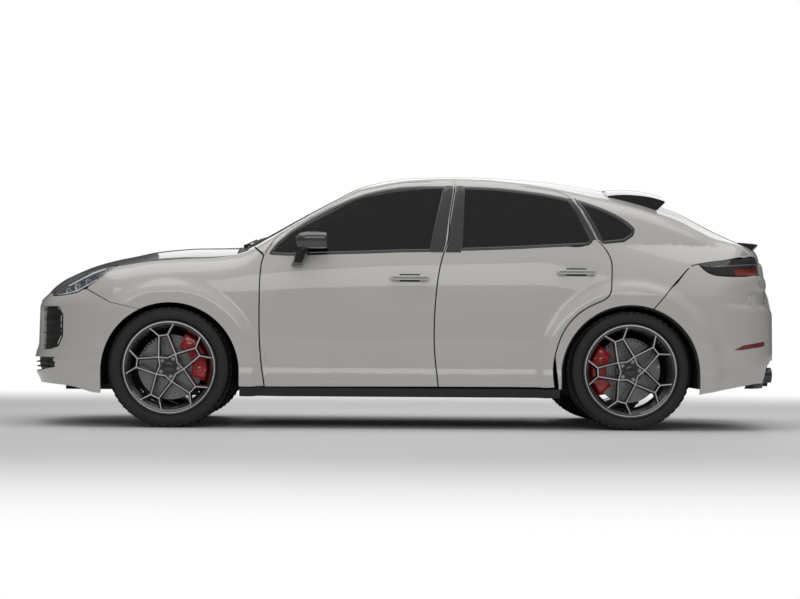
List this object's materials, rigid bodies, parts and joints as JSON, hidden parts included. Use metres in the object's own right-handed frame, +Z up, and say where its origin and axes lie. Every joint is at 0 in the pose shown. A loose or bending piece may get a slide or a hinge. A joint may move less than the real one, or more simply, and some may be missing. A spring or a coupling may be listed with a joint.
{
  "type": "coupe sport utility vehicle",
  "caption": "Five-door coupe sport utility vehicle with sloping roof, opening doors, bonnet and tailgate, steered front wheels and spinning wheels.",
  "frame": {"origin": "bottom centre of the bounding box, on the ground", "axes": "+X to the tail, the nose at -X; +Y to the vehicle's right side; +Z up"},
  "size_m": [4.8848, 2.188, 1.6399],
  "materials": {
    "body_paint": "gloss clear coat, light warm grey",
    "black_paint": "gloss black",
    "black_plastic": "grained black",
    "glass": "tinted",
    "lamp_glass": "clear lens",
    "tail_lens": "smoked red lens",
    "structure_paint": "satin grey",
    "tyre": "black rubber",
    "rim": "gloss black with turned faces",
    "disc": "turned",
    "caliper": "red",
    "chassis": "black",
    "leather": "black leather"
  },
  "bodies": {
    "body": {"body_sides": "body_paint", "quarter_glass": "glass", "front_fenders": "body_paint", "front_bumper": "body_paint", "front_grille": "black_plastic", "rear_bumper": "body_paint", "diffuser": "black_plastic", "headlamps": "lamp_glass", "tail_lamps": "tail_lens", "windscreen": "glass", "roof_panel": "black_paint", "cowl_panel": "black_plastic", "side_sills": "black_plastic", "body_structure": "structure_paint", "wheel_liners": "black_plastic", "dashboard": "black_plastic", "front_seats": "leather", "rear_bench": "leather", "engine_block": "chassis", "front_axle": "chassis", "rear_axle": "chassis", "rear_calipers": "caliper", "exhaust": "chassis"},
    "bonnet": {"bonnet": "black_paint"},
    "tailgate": {"tailgate": "body_paint", "tailgate_glass": "glass", "roof_spoiler": "black_paint", "tail_lip": "black_paint"},
    "steering_wheel": {"steering_wheel": "leather"},
    "front_door_left": {"front_door_left": "body_paint", "front_door_glass_left": "glass", "door_mirror_left": "black_paint"},
    "rear_door_left": {"rear_door_left": "body_paint", "rear_door_glass_left": "glass"},
    "front_knuckle_left": {"front_knuckle_left": "chassis", "front_caliper_left": "caliper"},
    "front_wheel_left": {"front_tyre_left": "tyre", "front_rim_left": "rim", "front_disc_left": "disc"},
    "rear_wheel_left": {"rear_tyre_left": "tyre", "rear_rim_left": "rim", "rear_disc_left": "disc"},
    "front_door_right": {"front_door_right": "body_paint", "front_door_glass_right": "glass", "door_mirror_right": "black_paint"},
    "rear_door_right": {"rear_door_right": "body_paint", "rear_door_glass_right": "glass"},
    "front_knuckle_right": {"front_knuckle_right": "chassis", "front_caliper_right": "caliper"},
    "front_wheel_right": {"front_tyre_right": "tyre", "front_rim_right": "rim", "front_disc_right": "disc"},
    "rear_wheel_right": {"rear_tyre_right": "tyre", "rear_rim_right": "rim", "rear_disc_right": "disc"}
  },
  "joints": [
    {"name": "front_door_left_hinge", "type": "hinge", "parent": "body", "child": "front_door_left", "pos_m": [-0.907, -0.957, 0.6], "axis": [0, 0, -1], "range_deg": [0, 68]},
    {"name": "rear_door_left_hinge", "type": "hinge", "parent": "body", "child": "rear_door_left", "pos_m": [0.19, -0.96, 0.6], "axis": [0, 0, -1], "range_deg": [0, 68]},
    {"name": "front_wheel_left_steer", "type": "hinge", "parent": "body", "child": "front_knuckle_left", "pos_m": [-1.487, -0.765, 0.379], "axis": [0, 0, 1], "range_deg": [-26, 26]},
    {"name": "front_wheel_left_spin", "type": "hinge", "parent": "front_knuckle_left", "child": "front_wheel_left", "pos_m": [-1.487, -0.8395, 0.379], "axis": [0, 1, 0], "continuous": true},
    {"name": "rear_wheel_left_spin", "type": "hinge", "parent": "body", "child": "rear_wheel_left", "pos_m": [1.408, -0.8245, 0.374], "axis": [0, 1, 0], "continuous": true},
    {"name": "front_door_right_hinge", "type": "hinge", "parent": "body", "child": "front_door_right", "pos_m": [-0.907, 0.957, 0.6], "axis": [0, 0, 1], "range_deg": [0, 68]},
    {"name": "rear_door_right_hinge", "type": "hinge", "parent": "body", "child": "rear_door_right", "pos_m": [0.19, 0.96, 0.6], "axis": [0, 0, 1], "range_deg": [0, 68]},
    {"name": "front_wheel_right_steer", "type": "hinge", "parent": "body", "child": "front_knuckle_right", "pos_m": [-1.487, 0.765, 0.379], "axis": [0, 0, 1], "range_deg": [-26, 26]},
    {"name": "front_wheel_right_spin", "type": "hinge", "parent": "front_knuckle_right", "child": "front_wheel_right", "pos_m": [-1.487, 0.8395, 0.379], "axis": [0, 1, 0], "continuous": true},
    {"name": "rear_wheel_right_spin", "type": "hinge", "parent": "body", "child": "rear_wheel_right", "pos_m": [1.408, 0.8245, 0.374], "axis": [0, 1, 0], "continuous": true},
    {"name": "bonnet_hinge", "type": "hinge", "parent": "body", "child": "bonnet", "pos_m": [-1.078, 0, 1.168], "axis": [0, 1, 0], "range_deg": [0, 50]},
    {"name": "tailgate_hinge", "type": "hinge", "parent": "body", "child": "tailgate", "pos_m": [1.302, 0, 1.572], "axis": [0, -1, 0], "range_deg": [0, 75]},
    {"name": "steering_wheel_turn", "type": "hinge", "parent": "body", "child": "steering_wheel", "pos_m": [-0.43, -0.38, 0.955], "axis": [0.9135, 0, 0.4067], "range_deg": [-450, 450]}
  ],
  "couplings": [
    {"joint": "front_wheel_right_steer", "follows": "front_wheel_left_steer", "ratio": 1}
  ]
}
